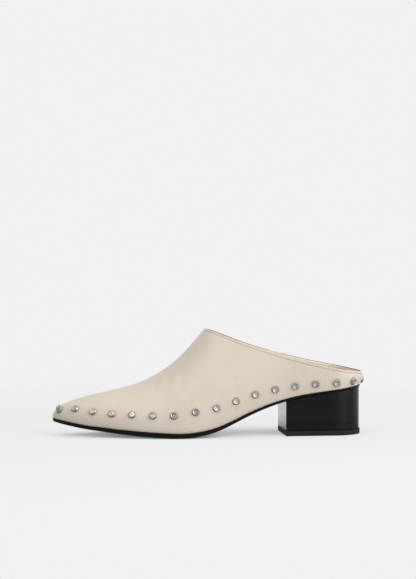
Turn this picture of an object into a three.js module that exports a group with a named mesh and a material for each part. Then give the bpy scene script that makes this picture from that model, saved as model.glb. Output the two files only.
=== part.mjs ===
// A pointed leather mule on a low block heel, the left shoe of a pair, with studs round its sides.
//
// Millimetres, Z up. The toe points along -X and the heel along +X. The lateral side, the outer
// side of the foot, is at -Y and the medial side at +Y. The shoe is drawn with its toe tip at
// x = 0, so x is the distance from the tip, and the group is then moved to put the bottom centre
// of its box at the origin.
//
// The upper is one skin, drawn section by section over the last and thickened into a wall. The
// soles and the heel follow the same last, so that the pieces keep an even gap.

import * as THREE from 'three';

// Driving dimensions
const THROAT = 133;           // toe tip to the front edge of the opening, on the ridge
const SEAT_END = 269.6;       // toe tip to the back of the heel seat
const SEAT_RADIUS = 26.8;     // round back of the heel seat
const WALL = 1.8;             // outer leather and lining together
const GAP = 0.3;              // between pieces that meet
const HEEL_LEAN = 2.4;        // how far the back of the upper bellies out over the seat
const HEEL_LEAN_SPAN = 16;    // height over which it does so
const INSOLE = 3.0;           // insole board and its leather sock together
const INSOLE_TIP = 2.2;       // the same at the toe tip, where the board is pared thin
const INSOLE_PARED = 12;      // toe tip to where it has its full thickness
const BREAST = 200.5;         // toe tip to the flat front of the heel
const HEEL_INSET = 0.7;       // the heel block inside the feather line
const LIFT = 4.5;             // thickness of the rubber top lift
const LIFT_OVERHANG = 0.8;    // the lift past the heel block, at the sides and back
const SOLE_OVERHANG = 0.3;    // the sole past the upper
const SOLE_TREAD = 0.84;      // share of the half width that the flat underside reaches
const SOLE_UNDERCUT = 0.6;    // how far the lower edge of the sole draws in
const STUD_RADIUS = 3.1;
const STUD_HEIGHT = 1.9;
const STUD_WALL = 0.95;       // height of the stud's upright wall, below its bevel
const STUD_FACE = 2.5;        // radius inside the bevel
const STUD_DISH = 0.2;        // how far the middle of the face lies below its rim

// How finely the curves are cut
const FRONT_STEPS = 24;       // stations from the toe tip to the throat
const SIDE_STEPS = 16;        // stations from the throat to the round of the heel
const BACK_STEPS = 8;         // stations round half of the heel
const ROWS = 12;              // rows from the sole to the ridge or the topline
const STUD_SIDES = 12;
const TOE_CROWDING = 1.6;     // how strongly the stations crowd at the toe tip
const FOOT_CROWDING = 1.25;   // how strongly they crowd behind the throat, at the feather line
const HEAD_CROWDING = 2.0;    // the same on the topline, which leaves the ridge as a round
const JOIN = 0.001;           // points closer than this are one

// The tables are read on a scale of the square root of the distance from the toe tip, because
// the widths and heights of a round toe grow with it.
const scale = x => Math.sqrt(Math.max(x, 0));

// A table gives one smooth function of x for each column after the first, as a natural spline.
function table(columns, rows) {
  const names = columns.split(' ').slice(1);
  const knots = rows.map(row => scale(row[0]));
  return Object.fromEntries(names.map((name, i) => {
    const curve = spline(knots, rows.map(row => row[i + 1]));
    return [name, x => curve(scale(x))];
  }));
}

function spline(knots, values) {
  const last = knots.length - 1;
  const bend = new Array(last + 1).fill(0);
  const held = new Array(last + 1).fill(0);
  const slope = i => (values[i + 1] - values[i]) / (knots[i + 1] - knots[i]);
  for (let i = 1; i < last; i++) {
    const share = (knots[i] - knots[i - 1]) / (knots[i + 1] - knots[i - 1]);
    const pivot = share * bend[i - 1] + 2;
    const turn = 6 * (slope(i) - slope(i - 1)) / (knots[i + 1] - knots[i - 1]);
    bend[i] = (share - 1) / pivot;
    held[i] = (turn - share * held[i - 1]) / pivot;
  }
  bend[last] = 0;
  for (let i = last - 1; i > 0; i--) bend[i] = bend[i] * bend[i + 1] + held[i];
  bend[0] = 0;
  return at => {
    let i = 0;
    while (i < last - 1 && at > knots[i + 1]) i += 1;
    const span = knots[i + 1] - knots[i];
    const b = (THREE.MathUtils.clamp(at, knots[0], knots[last]) - knots[i]) / span;
    const a = 1 - b;
    const sag = ((a ** 3 - a) * bend[i] + (b ** 3 - b) * bend[i + 1]) * span ** 2 / 6;
    return a * values[i] + b * values[i + 1] + sag;
  };
}

// The last. Lateral and medial are half widths at the feather line, where the upper meets the
// sole; feather and ridge are heights above the floor, and middle is where the ridge lies in y.
// Behind the throat the ridge goes on up the leg, and the topline cuts the section below it.
// Side is the share of the height at which a wall turns in, bulge how far it bellies past the
// feather line, and crown how broad the top is, both as shares of the half width.
const LAST = table('x lateral medial feather ridge middle side bulge crown', [
  [0, 0, 0, 15.5, 17.7, 0, 0.75, 0.14, 0.70],
  [3, 6.9, 6.2, 14.75, 22.4, 0, 0.75, 0.13, 0.70],
  [8, 11.3, 10.2, 13.75, 26.3, 0.1, 0.74, 0.12, 0.68],
  [16, 16.2, 14.4, 12.3, 29.9, 0.2, 0.70, 0.10, 0.63],
  [28, 22.1, 19.5, 10.25, 33.5, 0.5, 0.65, 0.08, 0.58],
  [42, 27.8, 24.5, 8.8, 36.9, 1.0, 0.60, 0.07, 0.54],
  [56, 32.6, 28.8, 7.4, 39.9, 1.5, 0.56, 0.06, 0.52],
  [70, 36.5, 32.6, 6.25, 43.5, 2.0, 0.52, 0.055, 0.50],
  [84, 39.4, 35.7, 5.2, 48.9, 2.5, 0.48, 0.05, 0.50],
  [98, 41.3, 37.0, 4.4, 57.2, 3.0, 0.44, 0.04, 0.51],
  [109, 41.7, 36.4, 4.05, 65.6, 3.4, 0.41, 0.035, 0.53],
  [120, 41.2, 34.4, 4.8, 77.0, 3.8, 0.38, 0.03, 0.57],
  [133, 39.3, 31.2, 6.95, 92.4, 4.0, 0.36, 0.03, 0.62],
  [148, 36.3, 27.2, 11.8, 106, 4.0, 0.35, 0.04, 0.64],
  [165, 32.9, 24.5, 19.55, 118, 3.8, 0.34, 0.06, 0.66],
  [185, 29.6, 23.8, 27.5, 128, 3.0, 0.33, 0.08, 0.68],
  [208, 27.6, 25.0, 34.0, 136, 1.6, 0.32, 0.08, 0.70],
  [240, 27.0, 26.8, 39.0, 142, 0.3, 0.30, 0.08, 0.70],
  [272, 27.0, 27.0, 43.5, 144, 0, 0.30, 0.08, 0.70],
]);

// Heights of the topline above the floor. The medial side stands a little higher.
const TOPLINE = table('x lateral medial', [
  [133, 92.4, 92.4],
  [140, 90.2, 90.6],
  [150, 86.1, 86.8],
  [165, 80.4, 80.9],
  [185, 73.8, 74.1],
  [208, 66.9, 68.1],
  [235, 60.2, 61.6],
  [256, 56.4, 57.8],
  [SEAT_END, 54.7, 54.7],
]);

// Edge is the thickness that shows at the side of the sole, belly how far the underside
// swells below that edge towards the middle.
const SOLE = table('x edge belly', [
  [0, 2.1, 0.2],
  [16, 2.4, 0.8],
  [40, 2.5, 1.3],
  [70, 3.1, 1.7],
  [98, 3.6, 1.2],
  [120, 3.5, 1.1],
  [138, 2.9, 1.5],
  [165, 2.3, 0.6],
  [190, 1.9, 0.0],
  [205, 1.7, 0.0],
  [272, 1.7, 0.0],
]);

// The studs of one side, from the toe to the heel, with the heights of their middles.
const STUDS = [
  { x: 5.9, height: 22.8 },
  { x: 19.2, height: 24.3 },
  { x: 34.2, height: 22.4 },
  { x: 50.2, height: 20.8 },
  { x: 67.2, height: 20.2 },
  { x: 84.6, height: 19.6 },
  { x: 102.6, height: 19.6 },
  { x: 121.0, height: 22.6 },
  { x: 139.1, height: 25.7 },
  { x: 156.2, height: 31.2 },
  { x: 173.1, height: 36.6 },
  { x: 190.7, height: 40.5 },
  { x: 208.3, height: 43.1 },
  { x: 226.3, height: 45.1 },
  { x: 244.1, height: 45.6 },
  { x: 258.6, height: 46.4 },
];
const BACK_STUD = { x: SEAT_END, height: 46.6 };

const SIDES = [
  { name: 'lateral', sign: -1 },
  { name: 'medial', sign: 1 },
];

// The round back of the heel seat starts here.
const SEAT_CENTRE = SEAT_END - SEAT_RADIUS;

// Narrows a plan to a round end, from 1 at the round's centre to 0 at its back.
function roundEnd(x, centre, radius) {
  const share = Math.max(x - centre, 0) / radius;
  return Math.sqrt(Math.max(1 - share ** 2, 0));
}

function halfWidth(side, x) {
  return LAST[side.name](x) * roundEnd(x, SEAT_CENTRE, SEAT_RADIUS);
}

// Stations that crowd together behind a start, and then every few degrees round the heel.
function stations(start, end, steps, crowding) {
  return Array.from({ length: steps }, (_, i) => start + (end - start) * (i / steps) ** crowding);
}

function roundStations(centre, radius) {
  return Array.from({ length: BACK_STEPS + 1 }, (_, i) => {
    const angle = Math.PI / 2 * i / BACK_STEPS;
    return centre + radius * Math.sin(angle);
  });
}

// The ribs of the upper stand on the first list at the feather line and end on the second at the
// ridge or the topline. Behind the throat they lean forward, towards its round.
const ahead = stations(0, THROAT, FRONT_STEPS, TOE_CROWDING);
const round = roundStations(SEAT_CENTRE, SEAT_RADIUS);
const FEET = [...ahead, ...stations(THROAT, SEAT_CENTRE, SIDE_STEPS, FOOT_CROWDING), ...round];
const HEADS = [...ahead, ...stations(THROAT, SEAT_CENTRE, SIDE_STEPS, HEAD_CROWDING), ...round];

// The section of the upper at x on one side, from the feather line up to the ridge.
function section(side, x) {
  const width = halfWidth(side, x);
  const foot = LAST.feather(x);
  const top = LAST.ridge(x);
  return new THREE.CubicBezierCurve(
    new THREE.Vector2(width, foot),
    new THREE.Vector2(width * (1 + LAST.bulge(x)), foot + (top - foot) * LAST.side(x)),
    new THREE.Vector2(width * LAST.crown(x), top),
    new THREE.Vector2(0, top),
  );
}

// Where a section reaches a height, as a share of its curve.
function shareAt(curve, height) {
  let low = 0;
  let high = 1;
  for (let i = 0; i < 40; i++) {
    const share = (low + high) / 2;
    if (curve.getPoint(share).y < height) low = share;
    else high = share;
  }
  return low;
}

// A point of the upper's outer face: x along the shoe, share up the section.
function onUpper(side, x, share) {
  const curve = section(side, x);
  const point = curve.getPoint(share);
  const climb = point.y - LAST.feather(x);
  const back = THREE.MathUtils.smoothstep(x, SEAT_CENTRE - SEAT_RADIUS / 2, SEAT_END);
  const lean = back * HEEL_LEAN * Math.sin(Math.PI * Math.min(climb / HEEL_LEAN_SPAN, 1));
  const ridgeward = THREE.MathUtils.smoothstep(share, 0, 1);
  const y = side.sign * point.x + LAST.middle(x) * ridgeward;
  return new THREE.Vector3(x + lean, y, point.y);
}

function topShare(side, x) {
  return x <= THROAT ? 1 : shareAt(section(side, x), TOPLINE[side.name](x));
}

// A skin holds points, joined where they fall together, and the triangles between them.
class Skin {
  points = [];
  faces = [];
  known = new Map();

  point(at) {
    const key = at.toArray().map(value => Math.round(value / JOIN)).join(' ');
    if (!this.known.has(key)) {
      this.known.set(key, this.points.length);
      this.points.push(at);
    }
    return this.known.get(key);
  }

  triangle(a, b, c) {
    if (a !== b && b !== c && c !== a) this.faces.push([a, b, c]);
  }

  quad(...corners) {
    const [a, b, c, d] = corners.map(corner => this.point(corner));
    this.triangle(a, b, c);
    this.triangle(a, c, d);
  }

  geometry() {
    const geometry = new THREE.BufferGeometry().setFromPoints(this.points);
    geometry.setIndex(this.faces.flat());
    geometry.computeVertexNormals();
    return geometry;
  }
}

// Stretches quads between neighbouring rings of points. Each ring closes on itself, and a ring
// with its points on one upright line closes the end.
function loft(rings, capped = false) {
  const skin = new Skin();
  for (let i = 0; i + 1 < rings.length; i++) {
    const [near, far] = [rings[i], rings[i + 1]];
    near.forEach((_, j) => {
      const next = (j + 1) % near.length;
      skin.quad(near[j], far[j], far[next], near[next]);
    });
  }
  if (capped) skin.quad(...rings[0]);
  return skin.geometry();
}

// Gives an open skin a wall on its inner side. The rows at the feather line step straight in,
// so that the upper stands on a level edge.
function thicken(skin, wall) {
  const normals = skin.geometry().getAttribute('normal');
  const count = skin.points.length;
  const open = new Map();
  for (const face of skin.faces) {
    face.forEach((from, i) => {
      const to = face[(i + 1) % 3];
      if (!open.delete(`${to} ${from}`)) open.set(`${from} ${to}`, [from, to]);
    });
  }
  const inner = skin.points.map((point, i) => {
    const inward = new THREE.Vector3().fromBufferAttribute(normals, i).negate();
    if (Math.abs(point.z - LAST.feather(point.x)) < 1e-6) inward.setZ(0).normalize();
    return point.clone().addScaledVector(inward, wall);
  });
  const shell = new Skin();
  shell.points = [...skin.points, ...inner];
  shell.faces = [...skin.faces, ...skin.faces.map(([a, b, c]) => [c + count, b + count, a + count])];
  for (const [from, to] of open.values()) {
    shell.triangle(to, from, from + count);
    shell.triangle(to, from + count, to + count);
  }
  return shell.geometry();
}

function upper() {
  const skin = new Skin();
  for (const side of SIDES) {
    const ribs = FEET.map((foot, i) => {
      const top = topShare(side, HEADS[i]);
      return Array.from({ length: ROWS + 1 }, (_, row) => {
        const x = THREE.MathUtils.lerp(foot, HEADS[i], row / ROWS);
        return onUpper(side, x, top * row / ROWS);
      });
    });
    for (let i = 0; i + 1 < ribs.length; i++) {
      for (let row = 0; row < ROWS; row++) {
        const [a, b] = [ribs[i][row], ribs[i + 1][row]];
        const [d, c] = [ribs[i][row + 1], ribs[i + 1][row + 1]];
        if (side.sign < 0) skin.quad(a, b, c, d);
        else skin.quad(a, d, c, b);
      }
    }
  }
  return thicken(skin, WALL);
}

// A point of the feather line in plan, moved square to the line by an offset, outwards if
// positive. At both ends of the shoe it moves along x.
function onPlan(side, x, offset) {
  const step = 0.05;
  const [before, after] = [Math.max(x - step, 0), Math.min(x + step, SEAT_END)];
  const run = after - before;
  const rise = halfWidth(side, after) - halfWidth(side, before);
  const outward = new THREE.Vector2(-rise, run).normalize();
  if (x === 0) outward.set(-1, 0);
  if (x >= SEAT_END) outward.set(1, 0);
  const width = Math.max(halfWidth(side, x) + outward.y * offset, 0);
  return { x: x + outward.x * offset, y: side.sign * width };
}

function insole() {
  const rings = FEET.map(x => {
    const [left, right] = SIDES.map(side => onPlan(side, x, -WALL - GAP));
    const under = LAST.feather(x);
    const full = THREE.MathUtils.smoothstep(x, 0, INSOLE_PARED);
    const top = under + THREE.MathUtils.lerp(INSOLE_TIP, INSOLE, full);
    return [
      new THREE.Vector3(left.x, left.y, under),
      new THREE.Vector3(left.x, left.y, top),
      new THREE.Vector3(right.x, right.y, top),
      new THREE.Vector3(right.x, right.y, under),
    ];
  });
  return loft(rings);
}

const soleTop = x => LAST.feather(x) - GAP;
const soleUnder = x => soleTop(x) - SOLE.edge(x);

// The sole swells below its edges, and is flat where it stands on the floor.
function outsole() {
  const rings = FEET.map(x => {
    const [left, right] = SIDES.map(side => onPlan(side, x, SOLE_OVERHANG));
    const [low, high] = SIDES.map(side => onPlan(side, x, SOLE_OVERHANG - SOLE_UNDERCUT));
    const tread = Math.max(soleUnder(x) - SOLE.belly(x), 0);
    return [
      new THREE.Vector3(left.x, left.y, soleTop(x)),
      new THREE.Vector3(right.x, right.y, soleTop(x)),
      new THREE.Vector3(high.x, high.y, soleUnder(x)),
      new THREE.Vector3(high.x, high.y * SOLE_TREAD, tread),
      new THREE.Vector3(low.x, low.y * SOLE_TREAD, tread),
      new THREE.Vector3(low.x, low.y, soleUnder(x)),
    ];
  });
  return loft(rings);
}

// A block under the heel seat, with a flat breast, from one height to another.
function heelBlock(offset, bottom, top) {
  const rings = [BREAST, (BREAST + SEAT_CENTRE) / 2, ...round].map(station => {
    const [left, right] = SIDES.map(side => onPlan(side, station, offset));
    if (station === BREAST) left.x = right.x = BREAST;
    return [
      new THREE.Vector3(left.x, left.y, top(station)),
      new THREE.Vector3(right.x, right.y, top(station)),
      new THREE.Vector3(right.x, right.y, bottom),
      new THREE.Vector3(left.x, left.y, bottom),
    ];
  });
  return loft(rings, true);
}

// A round nail head: a bevelled rim round a shallow dish. It stands along +Z.
function stud() {
  const profile = [
    [0, 0],
    [STUD_RADIUS, 0],
    [STUD_RADIUS, STUD_WALL],
    [STUD_FACE, STUD_HEIGHT],
    [0, STUD_HEIGHT - STUD_DISH],
  ].map(([radius, height]) => new THREE.Vector2(radius, height));
  return new THREE.LatheGeometry(profile, STUD_SIDES).rotateX(Math.PI / 2);
}

// Stands a stud on the upper, clear of it by the gap, square to the leather.
function placeStud(mesh, side, { x, height }) {
  const step = 0.5;
  const share = shareAt(section(side, x), height);
  const at = onUpper(side, x, share);
  const along = x < SEAT_END
    ? onUpper(side, x + step, share).sub(onUpper(side, x - step, share))
    : new THREE.Vector3(0, 1, 0);
  const up = onUpper(side, x, share + 0.02).sub(at);
  const outward = along.cross(up).multiplyScalar(-side.sign).normalize();
  mesh.position.copy(at).addScaledVector(outward, GAP);
  mesh.quaternion.setFromUnitVectors(new THREE.Vector3(0, 0, 1), outward);
}

const CREAM_LEATHER = new THREE.MeshStandardMaterial({ color: 0xd6cbb8, roughness: 0.45, metalness: 0 });
const INSOLE_LEATHER = new THREE.MeshStandardMaterial({ color: 0xd9c7b2, roughness: 0.6, metalness: 0 });
const SOLE_LEATHER = new THREE.MeshStandardMaterial({ color: 0x141313, roughness: 0.5, metalness: 0 });
const STACKED_HEEL = new THREE.MeshStandardMaterial({ color: 0x1a1918, roughness: 0.35, metalness: 0 });
const LIFT_RUBBER = new THREE.MeshStandardMaterial({ color: 0x242322, roughness: 0.7, metalness: 0 });
const STEEL = new THREE.MeshStandardMaterial({ color: 0xb4b4b2, roughness: 0.3, metalness: 1 });

const shoe = new THREE.Group();

function add(name, geometry, material) {
  const mesh = new THREE.Mesh(geometry, material);
  mesh.name = name;
  shoe.add(mesh);
  return mesh;
}

add('upper', upper(), CREAM_LEATHER);
add('insole', insole(), INSOLE_LEATHER);
add('outsole', outsole(), SOLE_LEATHER);
add('heel', heelBlock(-HEEL_INSET, LIFT + GAP, x => soleUnder(x) - GAP), STACKED_HEEL);
add('top_lift', heelBlock(LIFT_OVERHANG - HEEL_INSET, 0, () => LIFT), LIFT_RUBBER);

for (const side of SIDES) {
  STUDS.forEach((place, i) => {
    const number = String(i + 1).padStart(2, '0');
    placeStud(add(`stud_${side.name}_${number}`, stud(), STEEL), side, place);
  });
}
placeStud(add('stud_back', stud(), STEEL), SIDES[0], BACK_STUD);

shoe.updateMatrixWorld(true);
const centre = new THREE.Box3().setFromObject(shoe, true).getCenter(new THREE.Vector3());
shoe.position.set(-centre.x, -centre.y, 0);

export default shoe;
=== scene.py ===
# %% [markdown]
# # A studded leather mule
#
# This lesson dresses a set of solids as a real shoe: a pointed cream mule for the left foot, with
# steel studs round its sides, a thin black sole and a low stacked heel. The solids give every
# size and place. Blender gives what a plain solid lacks: rounded edges, a lining, stitches,
# faint creases, turned studs, layers in the heel, and materials with grain and wear.
#
# All lengths are in metres. The toe points along -X and the lateral side faces -Y.

# %% Load the solids
import math

import bpy
import numpy as np
from mathutils import Matrix, Vector
from mathutils.bvhtree import BVHTree
from mathutils.kdtree import KDTree


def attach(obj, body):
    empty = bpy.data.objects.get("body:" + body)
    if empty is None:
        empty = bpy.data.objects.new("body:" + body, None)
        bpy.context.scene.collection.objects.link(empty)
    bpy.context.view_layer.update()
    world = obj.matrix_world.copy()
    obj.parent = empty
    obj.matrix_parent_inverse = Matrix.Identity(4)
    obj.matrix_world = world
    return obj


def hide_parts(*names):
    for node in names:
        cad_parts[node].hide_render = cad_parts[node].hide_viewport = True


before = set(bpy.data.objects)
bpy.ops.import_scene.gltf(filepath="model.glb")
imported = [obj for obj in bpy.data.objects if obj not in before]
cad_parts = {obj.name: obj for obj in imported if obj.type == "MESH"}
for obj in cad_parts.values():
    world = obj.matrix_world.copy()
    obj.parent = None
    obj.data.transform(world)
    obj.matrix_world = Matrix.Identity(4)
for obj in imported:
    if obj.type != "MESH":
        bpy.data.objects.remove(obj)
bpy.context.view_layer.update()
MM = 0.001
print("solids:", len(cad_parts))

# %% [markdown]
# The camera stands a long way off with a long lens, a touch towards the toe, so the shoe shows
# its side almost square on. It looks at a point well above the shoe, which leaves the shoe low
# in the frame and shows it from slightly above. The camera is made first, so that each later
# piece can be judged in the same view.

# %% Camera
CAMERA_AZIMUTH = math.radians(-5.74)
CAMERA_RISE = math.radians(1.2)
CAMERA_DISTANCE = 1.5
CAMERA_LENS = 106.8
SENSOR_WIDTH = 36
CAMERA_TARGET = Vector((-1.2845, 2.0156, 126.2)) * MM

away = Vector((
    math.sin(CAMERA_AZIMUTH) * math.cos(CAMERA_RISE),
    -math.cos(CAMERA_AZIMUTH) * math.cos(CAMERA_RISE),
    math.sin(CAMERA_RISE),
))
bpy.ops.object.camera_add(location=CAMERA_TARGET + away * CAMERA_DISTANCE)
camera = bpy.context.object
camera.name = "camera"
camera.rotation_euler = (-away).to_track_quat("-Z", "Y").to_euler()
camera.data.lens = CAMERA_LENS
camera.data.sensor_width = SENSOR_WIDTH
bpy.context.scene.camera = camera
print("camera at", [round(value, 3) for value in camera.location])

# %% [markdown]
# Every piece starts from a solid or a primitive, and edit mode works on what is selected. Small
# helpers keep that tidy: one selects a single piece, one copies a solid and joins its loose
# triangles into quads, one applies a modifier as soon as it is added, and one clears the
# selection inside a mesh.

# %% Helpers for selecting, copying and modifiers
def select_only(piece):
    bpy.ops.object.select_all(action="DESELECT")
    piece.select_set(True)
    bpy.context.view_layer.objects.active = piece


MERGE_DISTANCE = 0.002 * MM


def copy_solid(node, name):
    piece = bpy.data.objects.new(name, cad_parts[node].data.copy())
    bpy.context.scene.collection.objects.link(piece)
    piece.data.name = name
    piece.data.materials.clear()
    select_only(piece)
    bpy.ops.mesh.customdata_custom_splitnormals_clear()
    bpy.ops.object.mode_set(mode="EDIT")
    bpy.ops.mesh.select_all(action="SELECT")
    bpy.ops.mesh.remove_doubles(threshold=MERGE_DISTANCE)
    bpy.ops.mesh.tris_convert_to_quads(
        face_threshold=math.radians(40), shape_threshold=math.radians(60)
    )
    bpy.ops.object.mode_set(mode="OBJECT")
    bpy.ops.object.shade_smooth()
    return piece


def apply_modifier(piece, kind, **values):
    select_only(piece)
    modifier = piece.modifiers.new(kind.title(), kind)
    for key, value in values.items():
        setattr(modifier, key, value)
    bpy.ops.object.modifier_apply(modifier=modifier.name)


def clear_selection(piece):
    for kind in ("vertices", "edges", "polygons"):
        items = getattr(piece.data, kind)
        items.foreach_set("select", [False] * len(items))


# %% [markdown]
# The upper is a copy of its solid, which has an outer skin, an inner skin, and a narrow rim at the
# topline and at the sole. The rims meet the skins at right angles and nothing else on the upper
# folds so sharply, so sharp edges split the faces into those four regions. The few slivers left
# over go with the lining.

# %% Split the upper into outer skin, lining and rims
OUTSIDE, LINING, RAW_EDGE = 0, 1, 2
RIM_ANGLE = math.radians(50)


def sharp_regions(piece, angle):
    select_only(piece)
    bpy.ops.object.mode_set(mode="EDIT")
    bpy.ops.mesh.select_mode(type="EDGE")
    bpy.ops.mesh.select_all(action="DESELECT")
    bpy.ops.mesh.edges_select_sharp(sharpness=angle)
    bpy.ops.object.mode_set(mode="OBJECT")
    walls = {edge.key for edge in piece.data.edges if edge.select}
    by_edge = {}
    for face in piece.data.polygons:
        for key in face.edge_keys:
            by_edge.setdefault(key, []).append(face.index)
    region = [-1] * len(piece.data.polygons)
    count = 0
    for start in range(len(region)):
        if region[start] >= 0:
            continue
        todo = [start]
        region[start] = count
        while todo:
            face = piece.data.polygons[todo.pop()]
            for key in face.edge_keys:
                if key in walls:
                    continue
                for other in by_edge[key]:
                    if region[other] < 0:
                        region[other] = count
                        todo.append(other)
        count += 1
    return region, count, walls


upper = copy_solid("upper", "leather_upper")
region, count = sharp_regions(upper, RIM_ANGLE)[:2]
faces = upper.data.polygons
areas = [0.0] * count
heights = [0.0] * count
for face in faces:
    areas[region[face.index]] += face.area
    heights[region[face.index]] += face.area * face.center.z
print("regions of the upper, cm2:", [round(area * 1e4, 1) for area in areas])

# %% Name the regions
by_area = sorted(range(count), key=lambda index: -areas[index])
outer_region = by_area[0]
topline_region, sole_region = sorted(
    by_area[2:4], key=lambda index: -heights[index] / areas[index]
)
materials_of = {outer_region: OUTSIDE, sole_region: OUTSIDE, topline_region: RAW_EDGE}
for face in faces:
    face.material_index = materials_of.get(region[face.index], LINING)
while len(upper.data.materials) < 3:
    upper.data.materials.append(None)
print("topline rim, faces:", region.count(topline_region), "of", len(faces))

# %% [markdown]
# On the real shoe the outer leather stands a little above the lining, so the cut edge slopes
# inwards and shows brown from inside. The lining's edge is lowered to give that slope. A small
# bevel on each edge keeps the corners firm when subdivision smooths the rest.

# %% Slope the topline and smooth the upper
LINING_DROP = 0.8 * MM
OUTER_BEVEL = 0.35 * MM
LINING_BEVEL = 0.25 * MM
SOLE_RIM_BEVEL = 0.16 * MM


def border(piece, first, second):
    found = {}
    for face in piece.data.polygons:
        for key in face.edge_keys:
            found.setdefault(key, set()).add(face.material_index)
    return [edge for edge in piece.data.edges if found[edge.key] == {first, second}]


def bevel_edges(piece, edges, width, segments, material=-1):
    clear_selection(piece)
    for edge in edges:
        edge.select = True
    select_only(piece)
    bpy.context.tool_settings.mesh_select_mode = (False, True, False)
    bpy.ops.object.mode_set(mode="EDIT")
    bpy.ops.mesh.bevel(
        offset=width, segments=segments, affect="EDGES", clamp_overlap=True, material=material
    )
    bpy.ops.object.mode_set(mode="OBJECT")


for index in {vertex for edge in border(upper, LINING, RAW_EDGE) for vertex in edge.vertices}:
    upper.data.vertices[index].co.z -= LINING_DROP
bevel_edges(upper, border(upper, OUTSIDE, RAW_EDGE), OUTER_BEVEL, 2, OUTSIDE)
bevel_edges(upper, border(upper, LINING, RAW_EDGE), LINING_BEVEL, 1, LINING)
bevel_edges(upper, border(upper, OUTSIDE, LINING), SOLE_RIM_BEVEL, 1, OUTSIDE)
apply_modifier(upper, "SUBSURF", levels=2, render_levels=2)
bpy.ops.object.shade_smooth()
print("upper, faces:", len(upper.data.polygons))

# %% [markdown]
# Some details follow the shape of the piece and not its place in space: the roll of leather
# above the stitches, and the dent that each stud presses. The mesh keeps two distances for
# them, one from the topline and one from the nearest stud. The material reads both.

# %% Where the studs stand
STUD_NODES = sorted(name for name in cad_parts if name.startswith("stud_"))
FACE_RING = (2.2 * MM, 2.8 * MM)


def stud_place(node):
    points = np.array([vertex.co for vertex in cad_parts[node].data.vertices])
    points = np.unique(points.round(6), axis=0)
    middle = points.mean(axis=0)
    axis = np.linalg.svd(points - middle)[2][2]
    height = (points - middle) @ axis
    across = np.linalg.norm(points - middle - np.outer(height, axis), axis=1)
    face = height[(across > FACE_RING[0]) & (across < FACE_RING[1])]
    if face.mean() < 0:
        axis = -axis
        height = -height
    return Vector(middle + axis * height.min()), Vector(axis)


STUDS = {node: stud_place(node) for node in STUD_NODES}
print("studs:", len(STUDS))


# %% Distances kept on the upper
EDGE_STEP = 0.25 * MM


def points_along(piece, edges, step):
    points = []
    for edge in edges:
        start, end = (piece.data.vertices[index].co for index in edge.vertices)
        count = max(1, math.ceil((end - start).length / step))
        points += [start.lerp(end, share / count) for share in range(count)]
    return points


def distances(places, targets):
    tree = KDTree(len(targets))
    for index, target in enumerate(targets):
        tree.insert(target, index)
    tree.balance()
    return np.array([tree.find(place)[2] for place in places], np.float32)


def keep_distance(piece, name, values):
    attribute = piece.data.attributes.new(name, "FLOAT", "POINT")
    attribute.data.foreach_set("value", values)


outer_edge = points_along(upper, border(upper, OUTSIDE, RAW_EDGE), EDGE_STEP)
inner_edge = points_along(upper, border(upper, LINING, RAW_EDGE), EDGE_STEP)
places = [vertex.co.copy() for vertex in upper.data.vertices]
is_lining = np.zeros(len(places), bool)
for face in upper.data.polygons:
    if face.material_index == LINING:
        is_lining[list(face.vertices)] = True
from_edge = np.where(is_lining, distances(places, inner_edge), distances(places, outer_edge))
keep_distance(upper, "from_edge", from_edge)
keep_distance(upper, "from_stud", distances(places, [place for place, axis in STUDS.values()]))
print("farthest from the topline, mm:", round(float(from_edge.max()) / MM, 1))

# %% [markdown]
# The thread shows as a row of short stitches a little below the topline, outside and inside. One
# stitch is shaped from a small ball pulled out along X, and copies follow the row. Each copy is
# set square to the leather and partly sunk in it. Between two stitches the needle leaves a small
# hole, which reads as a dark dot. A dark ball pressed flat stands for it, as painted shade.

# %% Points of a stitch row
STITCH_PITCH = 2.5 * MM
STITCH_LENGTH = 1.9 * MM
THREAD_RADIUS = 0.24 * MM
STITCH_SUNK = 0.09 * MM
HOLE_RADIUS = 0.33 * MM
HOLE_SHAPE = (1.25, 1.0, 0.3)
HOLE_SUNK = 0.03 * MM
ROW_BELOW_EDGE = 1.9 * MM


def edge_path(piece, edges):
    nexts = {}
    for edge in edges:
        first, second = edge.vertices
        nexts.setdefault(first, []).append(second)
        nexts.setdefault(second, []).append(first)
    start = min(nexts, key=lambda index: piece.data.vertices[index].co.x)
    path = [start]
    while True:
        onward = [index for index in nexts[path[-1]] if index not in path[-2:]]
        if not onward or onward[0] == start:
            break
        path.append(onward[0])
    return [piece.data.vertices[index].co.copy() for index in path + [start]]


def spaced(path, pitch, start):
    lengths = [(b - a).length for a, b in zip(path, path[1:])]
    total = sum(lengths)
    count = round(total / pitch)
    wanted = [total * (index + start) / count for index in range(count)]
    found = []
    walked = 0.0
    leg = 0
    for place in wanted:
        while walked + lengths[leg] < place:
            walked += lengths[leg]
            leg += 1
        share = (place - walked) / lengths[leg]
        along = (path[leg + 1] - path[leg]).normalized()
        found.append((path[leg].lerp(path[leg + 1], share), along))
    return found


def surface_of(piece, material):
    corners = [vertex.co for vertex in piece.data.vertices]
    chosen = [list(f.vertices) for f in piece.data.polygons if f.material_index == material]
    return BVHTree.FromPolygons(corners, chosen)


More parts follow.
